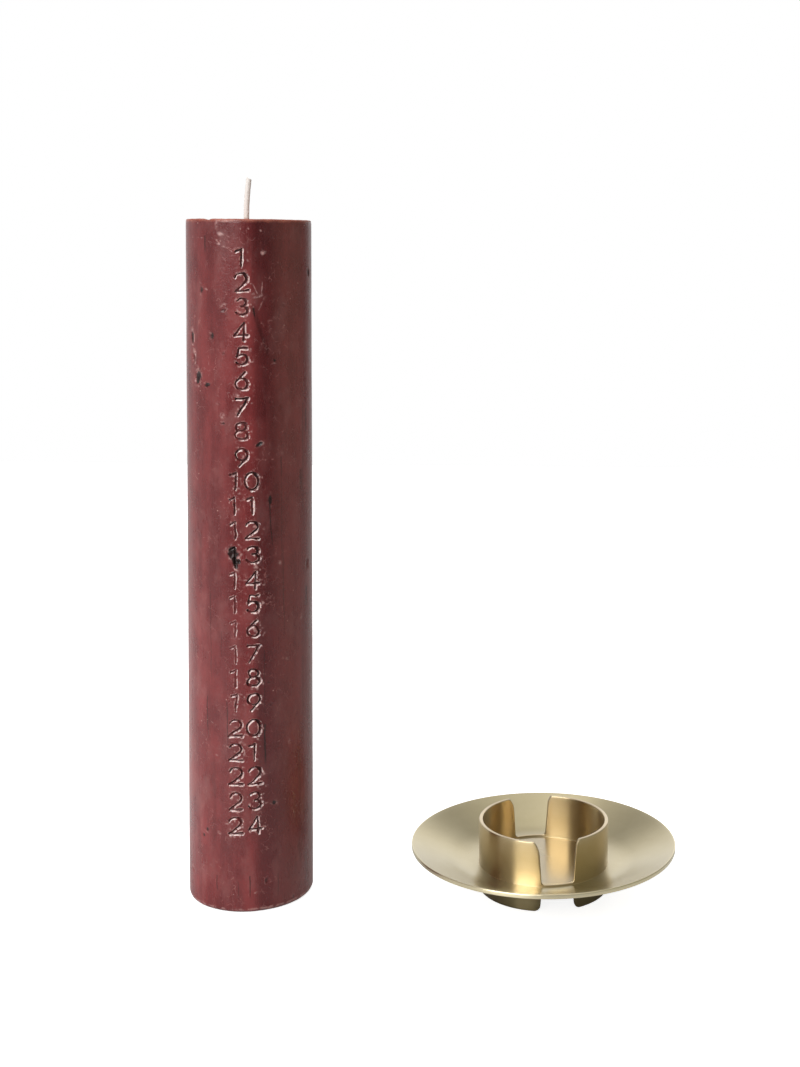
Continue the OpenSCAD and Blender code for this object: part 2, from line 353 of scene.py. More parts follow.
for x0, top, foot, half_w, darkness, lean in drips:
    share = np.clip((top - z) / (top - foot), 0, 1)
    middle = x0 + lean * share + 0.3 * wax_grain(skin + 5, (90, 90, 6))
    taper = half_w * (1.15 - 0.6 * share)
    edge = np.hypot((across - middle) / taper, (z - np.clip(z, foot, top)) / (2 * half_w))
    near = edge < 2
    field = np.clip(1.5 - edge[near] - 0.5 * ragged[near], 0, 1)
    if darkness > 0.5:
        dark[near] = np.maximum(dark[near], darkness * field)
    tone[near] *= 1 - 0.75 * min(darkness, 0.5) * smooth(0, 1, field)
    bump[near] -= 0.12 * darkness * field
for x0, z0, half_w, half_h, lean, paleness in rubs:
    half = 2.5 * max(half_w, half_h)
    near = (abs(across - x0) < half) & (abs(z - z0) < half)
    edge = spread(across[near], z[near], (x0, z0, half_w, half_h, lean)) + 1.2 * ragged[near]
    pale[near] = np.maximum(pale[near], paleness * smooth(1.4, 0.3, edge))
    bump[near] += 0.06 * paleness * smooth(1.3, 0.6, edge)
scratched, scratch_reach = np.zeros(len(skin)), 1.5
for x0, z0, x1, z1 in scratches:
    near = (across > min(x0, x1) - 1) & (across < max(x0, x1) + 1) & (abs(z - (z0 + z1) / 2) < 4)
    gap, _ = to_stroke(place[near], [line((x0, z0), (x1, z1))])
    scratched[near] = np.maximum(scratched[near], 1 - gap / scratch_reach)
# The top edge is chipped a little, and the foot is worn where it stood in its mould's lid
top_near = smooth(wax_h - 2.2, wax_h - 0.2, z)
chip_at, chip_half, chip_depth = -14.6, 0.9, 0.6
chip = chip_depth * np.exp(-((across - chip_at) / chip_half) ** 2)
bump -= top_near * (0.12 + 0.14 * np.abs(wax_grain(skin + 23, 2.6)) + chip)
foot_near = np.exp(-((t_of - foot_round * pi / 2 + 0.4) / 0.55) ** 2)
foot_rag = np.clip(0.3 + wax_grain(skin + 29, (2.6, 2.6, 1.5)), 0, 1)
bump += foot_near * (0.1 * foot_rag - 0.05)
bump = np.clip(bump - wax_inset, -deepest, -nearest_face)
points = [np.stack([(r + bump * out) * np.sin(theta), -(r + bump * out) * np.cos(theta),
                    np.maximum(z + bump * rise, 0)], 1)]
masks = {"cut": [cut], "shaded": [shaded], "press": [press], "heavy": [heavy], "dark": [dark], "pale": [pale],
         "scratched": [scratched], "tone": [tone]}
end_tone = 0.9


def close_end(row, radii, heights):
    """Rings from the wax's edge inwards, in step with its columns, the last closed by one face."""
    ring = [index[i][row] for i in range(len(columns))]
    edge = points[0][ring]
    offset = sum(len(p) for p in points)
    previous = ring
    for k, (radius, height) in enumerate(zip(radii, heights)):
        share = radius / np.hypot(edge[:, 0], edge[:, 1])
        here = np.stack([edge[:, 0] * share, edge[:, 1] * share, np.full(len(ring), height)], 1)
        weight = min(1, (k + 1) / 3)
        here[:, 2] = here[:, 2] * weight + edge[:, 2] * (1 - weight)
        here[:, 2] += 0.05 * wax_grain(here + 61, 5) * (1 if height > 1 else 0)
        points.append(here)
        for name in masks:
            masks[name].append(np.full(len(ring), end_tone if name == "tone" else 0.0))
        current = [offset + k * len(ring) + i for i in range(len(ring))]
        for i in range(len(ring)):
            j = (i + 1) % len(ring)
            quad = [previous[i], previous[j], current[j], current[i]]
            faces.append(quad if row else quad[::-1])
        previous = current
    faces.append(previous if row else previous[::-1])


# The flat top runs in to the wick, with a shallow sink round it, and the foot is nearly flat
top_drop, sink = 0.75, 0.35
top_radii = np.array([23.4, 22.6, 21.5, 20, 18, 15.5, 13, 10.5, 8, 6, 4.4, 3.2, 2.2, 1.6])
close_end(rows, top_radii, wax_h - top_drop - sink * smooth(9, 2, top_radii))
close_end(0, np.array([22.2, 20.5, 17, 12, 6]), np.array([0, 0, 0.35, 0.4, 0.4]))


def make_piece(name, points_mm, faces, at=(0, 0)):
    """A mesh object from points in millimetres, moved to stand at (x, y), smooth shaded."""
    mesh = bpy.data.meshes.new(name)
    placed = (np.asarray(points_mm, float) + (at[0], at[1], 0)) * MM
    mesh.from_pydata(placed.tolist(), [], faces)
    mesh.polygons.foreach_set("use_smooth", np.ones(len(mesh.polygons), bool))
    mesh.update()
    piece = bpy.data.objects.new(name, mesh)
    bpy.context.scene.collection.objects.link(piece)
    return piece


class Dye:
    """A value on its way through a finish's nodes; + - * / on it add Math nodes."""

    def __init__(self, finish, socket):
        self.finish, self.socket = finish, socket

    def math(self, operation, a, b=0):
        return self.finish.node("ShaderNodeMath", {"operation": operation}, {0: a, 1: b})

    def __add__(self, other): return self.math("ADD", self, other)
    def __radd__(self, other): return self.math("ADD", other, self)
    def __sub__(self, other): return self.math("SUBTRACT", self, other)
    def __rsub__(self, other): return self.math("SUBTRACT", other, self)
    def __mul__(self, other): return self.math("MULTIPLY", self, other)
    def __rmul__(self, other): return self.math("MULTIPLY", other, self)
    def __truediv__(self, other): return self.math("DIVIDE", self, other)
    def __rtruediv__(self, other): return self.math("DIVIDE", other, self)
    def __abs__(self): return self.math("ABSOLUTE", self)


class Finish:
    """The nodes of one finish. node() adds any node and returns one of its outputs."""

    def __init__(self, name, tree=None):
        if tree is None:
            self.material = bpy.data.materials.new(name)
            self.material.use_nodes = True
            tree = self.material.node_tree
        self.tree = tree
        tree.nodes.clear()

    def node(self, kind, settings=None, inputs=None, out=None):
        node = self.tree.nodes.new(kind)
        for key, value in (settings or {}).items():
            if key == "stops":
                ramp = node.color_ramp.elements
                while len(ramp) < len(value):
                    ramp.new(0.5)
                for stop, (position, shade) in zip(ramp, value):
                    stop.position, stop.color = position, (*shade, 1)
            else:
                setattr(node, key, value)
        for key, value in (inputs or {}).items():
            socket = node.inputs[key] if isinstance(key, int) else next(
                s for s in node.inputs if s.enabled and s.name == key)
            if isinstance(value, Dye):
                self.tree.links.new(value.socket, socket)
            else:
                full = isinstance(value, tuple) and len(value) == 3 and socket.type == "RGBA"
                socket.default_value = (*value, 1) if full else value
        outputs = [s for s in node.outputs if s.enabled]
        return Dye(self, next((s for s in outputs if s.name == out), outputs[0])) if outputs else node

    def mask(self, name):
        return self.node("ShaderNodeAttribute", {"attribute_name": name}, out="Fac")

    def vector(self, operation, *inputs, out=None):
        return self.node("ShaderNodeVectorMath", {"operation": operation}, dict(enumerate(inputs)), out)

    def place(self, stretch=(1, 1, 1), start=(0, 0, 0)):
        """Where a point is on the piece, in millimetres, stretched and shifted."""
        at = self.node("ShaderNodeTexCoord", out="Object")
        scale = tuple(s / MM for s in stretch)
        return self.vector("MULTIPLY_ADD", at, scale, start)

    def axis(self, vector, letter):
        return self.node("ShaderNodeSeparateXYZ", None, {0: vector}, letter)

    def noise(self, cell, stretch=(1, 1, 1), start=(0, 0, 0), detail=3, rough=0.55):
        """Noise of 0 to 1 in lumps of about a cell, in millimetres."""
        return self.node("ShaderNodeTexNoise", None, {
            "Vector": self.place(stretch, start), "Scale": 1 / cell, "Detail": detail,
            "Roughness": rough}, "Factor")

    def step(self, value, low, high, top=1.0):
        """0 where the value is at low, top where it is at high, with an S between."""
        return self.node("ShaderNodeMapRange", {"interpolation_type": "SMOOTHSTEP"}, {
            "Value": value, "From Min": low, "From Max": high, "To Max": top})

    def patches(self, cell, low, high, top=1.0, **noise):
        """Patches of about a cell, where the noise is past high, with soft edges down to low."""
        return self.step(self.noise(cell, **noise), low, high, top)

    def band(self, value, low, low_full, high_full, high):
        """1 where the value is between the two full marks, and 0 outside low and high."""
        return self.step(value, low, low_full) * self.step(value, high, high_full)

    def tint(self, factor, a, b):
        return self.node("ShaderNodeMix", {"data_type": "RGBA"}, {"Factor": factor, "A": a, "B": b})

    def bump(self, height, distance, strength=1.0, normal=None):
        inputs = {"Height": height, "Distance": distance * MM, "Strength": strength}
        if normal:
            inputs["Normal"] = normal
        return self.node("ShaderNodeBump", None, inputs)

    def surface(self, **inputs):
        sockets = {name.replace("_", " "): value for name, value in inputs.items()}
        shader = self.node("ShaderNodeBsdfPrincipled", None, sockets)
        self.node("ShaderNodeOutputMaterial", None, {"Surface": shader})
        return self.material


# Colours of the wax, of its pale marks and painted highlights, and of its dark marks and painted shade
deep_red, light_red, deepest_red = (0.225, 0.031, 0.033), (0.37, 0.06, 0.06), (0.02, 0.003, 0.003)
streak_red, fine_streak_red, hazy_red = (0.15, 0.02, 0.02), (0.40, 0.095, 0.09), (0.44, 0.155, 0.145)
reflected_haze_brown, painted_edge_glow = (0.155, 0.052, 0.042), (0.40, 0.125, 0.085)
crazed, speck_pale = (0.60, 0.28, 0.25), (0.66, 0.36, 0.32)
rubbed, scored_pale = (0.68, 0.42, 0.39), (0.62, 0.36, 0.33)
highlight_pale, lip_highlight, worn_pale = (0.95, 0.75, 0.71), (0.74, 0.43, 0.40), (0.60, 0.34, 0.31)
blot, stroke_floor_shade, stroke_shadow_black = (0.08, 0.014, 0.012), (0.06, 0.008, 0.008), (0.008, 0.002, 0.002)
drip_black, pit_shade_and_drip_black = (0.014, 0.005, 0.004), (0.012, 0.005, 0.004)

wax = Finish("wax_finish")
stroke, shade_side, pressed, weight, dark_pit_and_drip, rub, scratch, painted_light_tone_mask = (wax.mask(n) for n in masks)
clouds = wax.noise(9, stretch=(1, 1, 0.6), start=(3, 5, 7), detail=4)
bands_of_colour = wax.noise(6, stretch=(1, 1, 0.06), start=(5, 2, 1), detail=3)
streaks = wax.noise(2.6, stretch=(1, 1, 0.05), detail=3, rough=0.5)
fine_streaks = wax.noise(1.1, stretch=(1, 1, 0.03), start=(9, 1, 4), detail=2)
colour = wax.tint(wax.step(clouds * 0.6 + bands_of_colour * 0.4, 0.36, 0.66), deep_red, light_red)
colour = wax.tint(wax.step(streaks, 0.58, 0.78, 0.35), colour, streak_red)
colour = wax.tint(wax.step(fine_streaks, 0.62, 0.85, 0.2), colour, fine_streak_red)
haze = wax.patches(7, 0.48, 0.72, stretch=(1, 1, 0.5), start=(7, 7, 2), detail=5, rough=0.6)
colour = wax.tint(haze * 0.5, colour, hazy_red)
# The wax's tone, which holds painted light and shade as well as its stains, darkens the colour towards the
# deepest red
colour = wax.tint(painted_light_tone_mask, deepest_red, colour)
# Pale crazing: short curly threads, in some parts of the wax only
curl = wax.node("ShaderNodeTexNoise", None, {"Vector": wax.place(), "Scale": 1 / 2.4, "Detail": 2}, "Color")
drawn = wax.vector("MULTIPLY_ADD", curl, (3.6, 3.6, 3.6), wax.place((1, 1, 0.75)))
cells = wax.node("ShaderNodeTexVoronoi", {"feature": "DISTANCE_TO_EDGE"}, {
    "Vector": drawn, "Scale": 1 / 4.0}, "Distance")
threads = wax.step(cells, 0.036, 0.004) * wax.patches(10, 0.42, 0.62, start=(1, 2, 3), detail=2)
threads = threads * wax.patches(1.7, 0.42, 0.6, start=(6, 2, 8), detail=2)
colour = wax.tint(threads * 0.27, colour, crazed)
specks = wax.node("ShaderNodeTexVoronoi", None, {"Vector": wax.place(), "Scale": 1 / 6.0}, "Distance")
speck = wax.step(specks, 0.055, 0.03)
colour = wax.tint(speck * 0.6, colour, speck_pale)
colour = wax.tint(wax.patches(1.5, 0.70, 0.76, 0.6, start=(8, 8, 1)), colour, blot)
colour = wax.tint(rub * wax.patches(1.2, 0.35, 0.58, start=(1, 1, 9)) * 0.8, colour, rubbed)
scored = wax.step(scratch, 0.86, 0.94) * wax.patches(1.6, 0.4, 0.6, start=(3, 8, 3))
colour = wax.tint(scored * 0.5, colour, scored_pale)
# Painted light and shade in each stroke: its floor is painted darker, the wall towards the light is painted
# as a near-black shadow, and the far wall and its lip get a pale painted highlight; a heavy stroke is painted
# dark right across, with a pale painted highlight on its lip on the light's side
q = (1 - stroke) * stroke_reach
breaks = wax.noise(1.1, start=(2, 9, 5), detail=2)
# Painted shade: the floor of each stroke is painted darker
shaded_hollow = wax.step(q, 1.0, 0.55) * pressed
# Painted shadow: the wall on the light's side is painted near black
stroke_shadow = wax.step(q, 1.12, 0.85) * wax.step(shade_side + weight * 0.3, 0.45, 0.68) * pressed
stroke_shadow = stroke_shadow * wax.step(wax.noise(2.2, start=(7, 3, 3), detail=3) + pressed * 0.1, 0.44, 0.6)
# Painted highlight: the far wall, which faces the light, is painted pale
gleam = wax.band(q, 0.3, 0.7, 1.1, 1.55) * wax.step(shade_side, 0.42, 0.22)
gleam = gleam * wax.step(breaks + pressed * 0.1 - weight * 0.08, 0.45, 0.55) * (1 - weight * 0.4)
# Painted highlight: the lip on the light's side is painted pale
lip = wax.band(q, 0.95, 1.15, 1.4, 1.75) * wax.step(shade_side, 0.5, 0.75)
lip = lip * wax.step(breaks + weight * 0.15, 0.42, 0.6) * (0.5 + weight * 0.5)
colour = wax.tint(shaded_hollow * 0.6, colour, stroke_floor_shade)
colour = wax.tint(stroke_shadow * 0.92, colour, stroke_shadow_black)
colour = wax.tint(gleam * (0.35 + pressed * 0.65), colour, highlight_pale)
colour = wax.tint(lip * 0.85, colour, lip_highlight)
# Distance round the wax from the numbers' middle
from_wick = wax.place(start=(-candle_at[0], -candle_at[1], 0))
to_right, to_back, height = (wax.axis(from_wick, letter) for letter in "XYZ")
girth = to_right.math("ARCTAN2", to_right, 0 - to_back) * wax_r - number_turn
shaky = girth + (wax.noise(6, start=(3, 3, 1)) - 0.5) * 1.2
for x0, top, foot, half_w, darkness, lean in hair_drips:
    share = (top - height) / (top - foot)
    off = abs(shaky - x0 - share * share * lean)
    hair = wax.step(off, half_w * 1.25, half_w * 0.5) * wax.band(share, 0, 0.06, 0.6, 1)
    colour = wax.tint(hair * darkness, colour, drip_black)
# The right side is painted browner: a painted haze of reflected light
colour = wax.tint(wax.step(girth, 8, 20) * wax.step(girth, 42, 34, 0.4), colour, reflected_haze_brown)
# Painted shade in the dark pits, and dark wax in the dark drips
ragged_dark = wax.step(dark_pit_and_drip + (wax.noise(0.7, start=(4, 4, 4)) - 0.5) * 0.35, 0.25, 0.6)
colour = wax.tint(ragged_dark * 0.9, colour, pit_shade_and_drip_black)
# Thin wax at the top edge lets light through; that glow is painted into its colour
thin = height + (wax.noise(2.5, start=(5, 9, 9)) - 0.5) * 1.6
colour = wax.tint(wax.step(thin, wax_h - 1.9, wax_h - 0.3, 0.8), colour, painted_edge_glow)
# A worn pale line runs round the foot's rounding
worn = height + (wax.noise(3, start=(2, 2, 6)) - 0.5) * 1.2
worn = wax.band(worn, 1.0, 1.4, 1.9, 2.4) * wax.patches(2.4, 0.38, 0.55, start=(6, 1, 1))
colour = wax.tint(worn * 0.38, colour, worn_pale)
gloss = 0.28 + (clouds - 0.5) * 0.2 + (fine_streaks - 0.5) * 0.08
gloss = gloss + rub * 0.15 + shaded_hollow * 0.25 - gleam * 0.05 + threads * 0.1 + haze * 0.08
gloss = gloss + wax.step(height, wax_h - 1, wax_h - 0.5, 0.5)
grain = wax.bump(wax.noise(1.0, detail=4, rough=0.6), 0.08)
grain = wax.bump(streaks, 0.12, 0.5, grain)
grain = wax.bump(threads + speck, 0.04, 0.8, grain)
wax_finish = wax.surface(
    Base_Color=colour, Roughness=gloss, Normal=grain, IOR=1.45,
    Subsurface_Weight=0.15, Subsurface_Radius=(1, 0.3, 0.2), Subsurface_Scale=0.0015)

wax_piece = make_piece("wax_pillar", np.concatenate(points), faces, candle_at)
for name, parts in masks.items():
    layer = wax_piece.data.attributes.new(name, "FLOAT", "POINT")
    layer.data.foreach_set("value", np.clip(np.concatenate(parts), 0, 1).astype(np.float32))
wax_piece.data.materials.append(wax_finish)
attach(wax_piece, "candle")
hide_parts("candle_body")

# Wick: cotton plaited round a thread and primed with wax, cast in with the pillar. It stands a
# little off the middle, leans to the right on a long arc, and is cut off on a slant.
wick_r, wick_off, wick_out, wick_bend, wick_up = 1.1, 1.0, 16.6, 120.0, 1.0
wick_cut, wick_draft = radians(20), 0.02
plait_pitch, plait_depth, plait_strands, plait_flatness = 3.4, 0.05, 3, 0.9
around = np.linspace(0, 2 * pi, 48, endpoint=False)
tip_turn = asin(wick_out / (wick_bend + wick_r))
cut_turn = tip_turn + wick_cut
tip = np.array([wick_bend - (wick_bend + wick_r) * cos(tip_turn), wick_out])
in_wax = np.concatenate([[wick_up], np.linspace(20, wax_h - 4, 8), np.linspace(wax_h - 3, wax_h, 10)])
free = np.linspace(0, wick_bend * tip_turn, 120)[1:]
wick_points = []
for up in np.concatenate([in_wax - wax_h, free]):
    turn = max(up, 0) / wick_bend
    middle = (wick_bend * (1 - cos(turn)), wick_bend * sin(turn) if up > 0 else up)
    left_hand = np.cos(plait_strands * around + 2 * pi * up / plait_pitch)
    right_hand = np.cos(plait_strands * around - 2 * pi * up / plait_pitch)
    radius = (wick_r - wick_draft) - plait_depth * (1 - np.maximum(left_hand, right_hand)) / 2
    # The plait is a little wider than it is thick
    x, y = radius * np.cos(around), plait_flatness * radius * np.sin(around)
    px, pz = middle[0] + x * cos(turn), middle[1] - x * sin(turn)
    # Above the slanted cut a point slides back along the wick to it
    over = np.maximum(0, (px - tip[0]) * sin(cut_turn) + (pz - tip[1]) * cos(cut_turn))
    slide = over / (sin(turn) * sin(cut_turn) + cos(turn) * cos(cut_turn))
    px, pz = px - slide * sin(turn), pz - slide * cos(turn)
    wick_points.append(np.stack([px - wick_off, y, pz + wax_h], 1))
# The cut end is closed over its middle
end = wick_points[-1]
centre = end.mean(0)
for share in (0.7, 0.35):
    wick_points.append(centre + (end - centre) * share + (0, 0, 0.05 * (1 - share)))
n, last = len(around), (len(wick_points) - 1) * len(around)
wick_faces = [[k * n + i, k * n + (i + 1) % n, (k + 1) * n + (i + 1) % n, (k + 1) * n + i]
              for k in range(len(wick_points) - 1) for i in range(n)]
wick_faces += [[last + i for i in range(n)], list(range(n))[::-1]]
wick_piece = make_piece("cotton_wick", np.concatenate(wick_points), wick_faces, candle_at)

pale_cotton, white_cotton = (0.79, 0.74, 0.69), (0.86, 0.82, 0.77)
waxed_cotton, red_waxed_cotton = (0.62, 0.60, 0.48), (0.50, 0.22, 0.19)
cotton = Finish("cotton_finish")
fibres = cotton.noise(0.35, stretch=(1, 1, 0.35), detail=3)
height = cotton.axis(cotton.place(), "Z")
shade = cotton.tint(cotton.step(fibres, 0.3, 0.75), pale_cotton, white_cotton)
shade = cotton.tint(cotton.step(height, wax_h + 3.5, wax_h, 0.35), shade, waxed_cotton)
shade = cotton.tint(cotton.step(height, wax_h + 0.9, wax_h, 0.5), shade, red_waxed_cotton)
wick_piece.data.materials.append(cotton.surface(
    Base_Color=shade, Roughness=0.62 + fibres * 0.2, Normal=cotton.bump(fibres, 0.12),
    Sheen_Weight=0.15, Sheen_Roughness=0.5))
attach(wick_piece, "candle")
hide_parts("wick")

# Dish: one disc of brass, spun over a form to a flat floor, a wide bend and a straight side, then
# trimmed at the rim and rubbed with a fine pad while it turned, which leaves it satin.
holder_at = np.array([45.1, 0.0])
dish_r, sheet, dish_rise, bend_r, floor_edge, rim_round = 54.3, 1.7, 9.0, 25.0, 1.4, 0.4
bore_r, ring_r, collar_h, foot_h = 25.1, 26.6, 17.9, 8.4
floor_z = foot_h + sheet
flat_r = ring_r + floor_edge
slope_run, slope_leg = dish_r - flat_r, bend_r - dish_rise
slope = atan2(slope_run, slope_leg) - acos(bend_r / hypot(slope_run, slope_leg))


def arc(centre, r, start, end, count):
    turn = np.linspace(start, end, count)
    return np.stack([centre[0] + r * np.cos(turn), centre[1] + r * np.sin(turn)], 1)


def straight(a, b, count):
    return np.linspace(a, b, count)[1:-1]


hub = (flat_r, floor_z + bend_r)
edge_x = dish_r - rim_round
rim_z = floor_z + dish_rise
upper = (edge_x, rim_z - rim_round * (1 / cos(slope) + tan(slope)))
under = (edge_x, rim_z - sheet / cos(slope) + rim_round * (1 / cos(slope) - tan(slope)))
inner_bend = arc(hub, bend_r, -pi / 2, slope - pi / 2, 9)
outer_bend = arc(hub, bend_r + sheet, slope - pi / 2, -pi / 2, 9)
upper_lip = arc(upper, rim_round, pi / 2 + slope, 0, 6)
under_lip = arc(under, rim_round, 0, slope - pi / 2, 6)
dish_profile = np.concatenate([
    straight((0, floor_z), inner_bend[0], 16), inner_bend, straight(inner_bend[-1], upper_lip[0], 10),
    upper_lip, under_lip, straight(under_lip[-1], outer_bend[0], 10), outer_bend,
    straight(outer_bend[-1], (0, foot_h), 10)])
around = np.linspace(0, 2 * pi, 288, endpoint=False)
dish_points = np.array([(0, 0, floor_z), (0, 0, foot_h)] + [
    (r * sin(a), -r * cos(a), z) for r, z in dish_profile for a in around])
n, last = len(around), 2 + (len(dish_profile) - 1) * len(around)
dish_faces = [[2 + k * n + i, 2 + (k + 1) * n + i, 2 + (k + 1) * n + (i + 1) % n, 2 + k * n + (i + 1) % n]
              for k in range(len(dish_profile) - 1) for i in range(n)]
dish_faces += [[0, 2 + i, 2 + (i + 1) % n] for i in range(n)]
dish_faces += [[1, last + (i + 1) % n, last + i] for i in range(n)]
dish_piece = make_piece("drip_dish", dish_points, dish_faces, holder_at)

# Lighter and deeper shade of the brass, and its roughness, in each place; the floor inside the collar and the
# foot ring are painted darker, as shade
dish_brass = (0.535, 0.455, 0.265), (0.495, 0.415, 0.232), 0.3
shaded_floor_brass = (0.42, 0.335, 0.185), (0.38, 0.30, 0.165), 0.26
ring_brass = (0.64, 0.515, 0.31), (0.60, 0.47, 0.265), 0.32
shaded_foot_brass = (0.235, 0.185, 0.085), (0.18, 0.14, 0.06), 0.36
rim_reflection_brass = (0.80, 0.70, 0.46)


def brass_finish(name, light, deep, roughness, drawn=0.9):
    """Satin brass, rubbed round and round the holder's axis."""
    brass = Finish(name)
    from_axis = brass.place(start=(-holder_at[0], -holder_at[1], 0))
    radius = brass.vector("LENGTH", brass.vector("MULTIPLY", from_axis, (1, 1, 0)), out="Value")
    turned = brass.node("ShaderNodeCombineXYZ", None, {0: radius, 1: brass.axis(from_axis, "Z")})
    rings, broad = (brass.node("ShaderNodeTexNoise", None, {
        "Vector": turned, "Scale": scale, "Detail": 2}, "Factor") for scale in (1.6, 0.3))
    patches = brass.noise(13, detail=3)
    shade = brass.tint(brass.step(patches * 0.85 + rings * 0.15, 0.3, 0.7), deep, light)
    handled = brass.patches(5, 0.6, 0.85, 0.12, start=(2, 7, 5), detail=3)
    shade = brass.tint(handled, shade, tuple(0.85 * c for c in deep))
    # The trimmed edge of the dish is painted brighter: a painted reflection of the bright table in front of
    # it
    shade = brass.tint(brass.step(radius, dish_r - 0.5, dish_r - 0.3), shade, rim_reflection_brass)
    rough = roughness + (rings - 0.5) * 0.04 + (patches - 0.5) * 0.06 + (broad - 0.5) * 0.05
    # The rubbing runs round and draws out what the brass mirrors. A thin lacquer lies on top
    return brass.surface(
        Base_Color=shade, Metallic=1.0, Roughness=rough, Normal=brass.bump(rings, 0.004, 0.5),
        Anisotropic=drawn, Anisotropic_Rotation=0.25, Coat_Weight=0.8, Coat_Roughness=0.2)


dish_piece.data.materials.append(brass_finish("dish_brass_finish", *dish_brass))
# Inside the collar the pad ran too slowly to draw out what the floor mirrors
# Its brass is painted darker: painted shade inside the collar
dish_piece.data.materials.append(brass_finish("floor_brass_finish", *shaded_floor_brass, drawn=0))
for face in dish_piece.data.polygons:
    face.material_index = int(hypot(*(Vector(face.center.xy) / MM - Vector(holder_at))) < bore_r)
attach(dish_piece, "holder")
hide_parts("dish")

# Collar: a ring cut from brass tube, with a notch sawn and filed through its front and back, so
# that it springs a little round the candle. It is brazed to the dish along a thin closed band.
edge_round, braze = 0.32, 0.1
# How far the ring's foot dips into the dish, so that no seam shows
sunk = 0.02
notch_w, notch_taper, band_h, notch_corner, notch_turn = 13.0, radians(4), 0.7, 1.2, radians(12.4)
left_flare, right_flare = (9.0, 5.2), (6.0, 3.3)


def notch_side(h, flare_r, flare_h):
    """Outline of one side of a notch, from the middle of its closed end up to the ring's free edge."""
    half = notch_w / 2
    corner = (half + notch_corner * (tan(notch_taper) - 1 / cos(notch_taper)), band_h + notch_corner)
    start_y = h - flare_h
    start = (half + (start_y - band_h) * tan(notch_taper), start_y)
    centre = (start[0] + flare_r * cos(notch_taper), start[1] - flare_r * sin(notch_taper))
    reach = asin(min(1, flare_h / flare_r + sin(notch_taper)))
    corner_arc = arc(corner, notch_corner, -pi / 2, -notch_taper, 10)
    flare = arc(centre, flare_r, pi - notch_taper, pi - reach, 14)
    length = hypot(*(flare[0] - corner_arc[-1]))
    return np.concatenate([
        np.linspace((0, band_h), corner_arc[0], 10)[:-1], corner_arc,
        straight(corner_arc[-1], flare[0], max(3, int(length / 0.7))), flare])


def quarter_ring(h, side, quarter_columns=56):
    """Columns from a notch's middle to a quarter turn round: each as the foot's angle, and a
    function from a radius and an inset from the edge to an angle and a height."""
    tail = side[-1] + np.stack([np.linspace(0.5, 3, 6), np.zeros(6)], 1)
    path = np.concatenate([side, tail])
    # The outline is eased a little past the closed end's corner
    for _ in range(2):
        path[1:-1] = 0.25 * path[:-2] + 0.5 * path[1:-1] + 0.25 * path[2:]
        path[:12] = side[:12]
    run = np.gradient(path, axis=0)
    run /= np.hypot(run[:, 0], run[:, 1])[:, None]
    inward = np.stack([run[:, 1], -run[:, 0]], 1)
    inward[0] = (0, -1)
    length = np.concatenate([[0], np.cumsum(np.hypot(*np.diff(path, axis=0).T))])
    columns = [(far, lambda r, d, p=p, w=w: (asin((p[0] + w[0] * d) / r), p[1] + w[1] * d))
               for far, p, w in zip(length, path, inward)]
    last, top_from = path[-1][0], length[-1]
    girth = pi / 2 * ring_r
    top_run = girth - asin(last / ring_r) * ring_r
    for share in np.linspace(0, 1, quarter_columns + 1)[1:]:
        columns.append((top_from + top_run * share,
                        lambda r, d, s=share: (asin(last / r) * (1 - s) + pi / 2 * s, h - d)))
    # The foot's angle grows in step with the outline past the straight closed end
    flat = notch_w / 2 - notch_corner
    total = columns[-1][0]
    return [((far if far < flat else flat + (far - flat) * (girth - flat) / (total - flat)) / ring_r,
             at) for far, at in columns]


def slotted_ring(name, h, left, right, base_z, sign):
    """The whole ring: its right half and its left half, each a front quarter and a back quarter."""
    turns = np.linspace(0, pi / 2, 5)
    rows_up = np.linspace(0, 1, 12)
    right_q, left_q = (quarter_ring(h, notch_side(h, *flare)) for flare in (right, left))
    # Where each quarter starts, and which way it runs on from there
    quarters = (right_q, 0, 1), (right_q[::-1], pi, -1), (left_q, pi, 1), (left_q[::-1], 2 * pi, -1)
    order = [(column, start, way) for quarter, start, way in quarters for column in quarter[:-1]]
    loops = []
    for (foot, at), start, way in order:

        def wall(r, shares):
            angle, height = at(r, edge_round)
            return [(foot + (angle - foot) * s, r, braze + (height - braze) * s) for s in shares]

        # Braze fillet, wall, rounded edge, wall and fillet, from outside to inside
        column = [(foot, ring_r + braze * (1 - sin(t)), braze * (1 - cos(t))) for t in turns[:-1]]
        column += wall(ring_r, rows_up[:-1])
        rounding = [(ring_r - edge_round * (1 - cos(t)), t) for t in turns]
        rounding += [(bore_r + edge_round * (1 - cos(t)), t) for t in turns[::-1]]
        for radius, t in rounding:
            angle, height = at(radius, edge_round * (1 - sin(t)))
            column.append((angle, radius, height))
        column += wall(bore_r, rows_up[-2::-1])
        column += [(foot, bore_r - braze * (1 - sin(t)), braze * (1 - cos(t))) for t in turns[-2::-1]]
        loop = []
        for angle, radius, height in column:
            a = start + way * angle + notch_turn
            up = base_z + sign * (height if height > 0 else -sunk)
            loop.append((radius * sin(a), -radius * cos(a), up))
        loops.append(loop)
    m, n = len(loops), len(loops[0])
    faces = [[i * n + k, ((i + 1) % m) * n + k, ((i + 1) % m) * n + (k + 1) % n, i * n + (k + 1) % n]
             for i in range(m) for k in range(n)]
    if sign < 0:
        faces = [f[::-1] for f in faces]
    return make_piece(name, np.array(loops).reshape(-1, 3), faces, holder_at)


collar_piece = slotted_ring("slotted_collar", collar_h, left_flare, right_flare, floor_z, 1)
collar_piece.data.materials.append(brass_finish("ring_brass_finish", *ring_brass))
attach(collar_piece, "holder")
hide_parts("collar")

